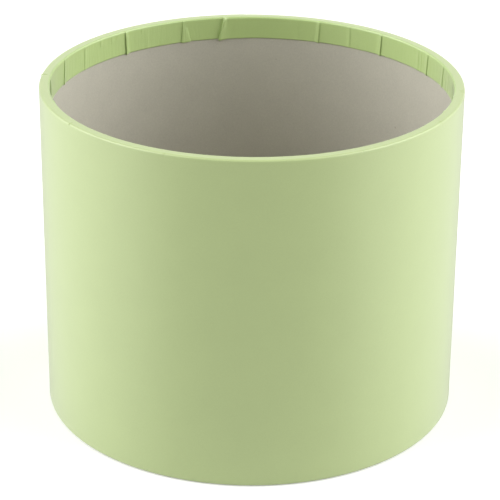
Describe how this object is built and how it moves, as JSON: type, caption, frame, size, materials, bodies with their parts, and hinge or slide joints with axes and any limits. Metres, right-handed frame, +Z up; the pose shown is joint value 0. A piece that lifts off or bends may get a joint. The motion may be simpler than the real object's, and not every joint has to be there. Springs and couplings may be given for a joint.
{
  "type": "round flower box",
  "caption": "Round lidless flower box: a greyboard cylinder covered in light green paper that turns in over the rim.",
  "frame": {"origin": "centre of the underside, where the box stands", "axes": "+Z up along the box's axis; +Y towards the back, where the cover paper's ends overlap"},
  "size_m": [0.18, 0.1802, 0.1455],
  "materials": {
    "greyboard": "matte",
    "kraft_tape": "matte",
    "cover_paper": "matte",
    "base_paper": "matte"
  },
  "bodies": {
    "root": {"wall_inner_ply": "greyboard", "wall_outer_ply": "greyboard", "base_board": "greyboard", "outer_seam_tape": "kraft_tape", "cover_paper": "cover_paper", "base_paper": "base_paper"}
  },
  "joints": []
}
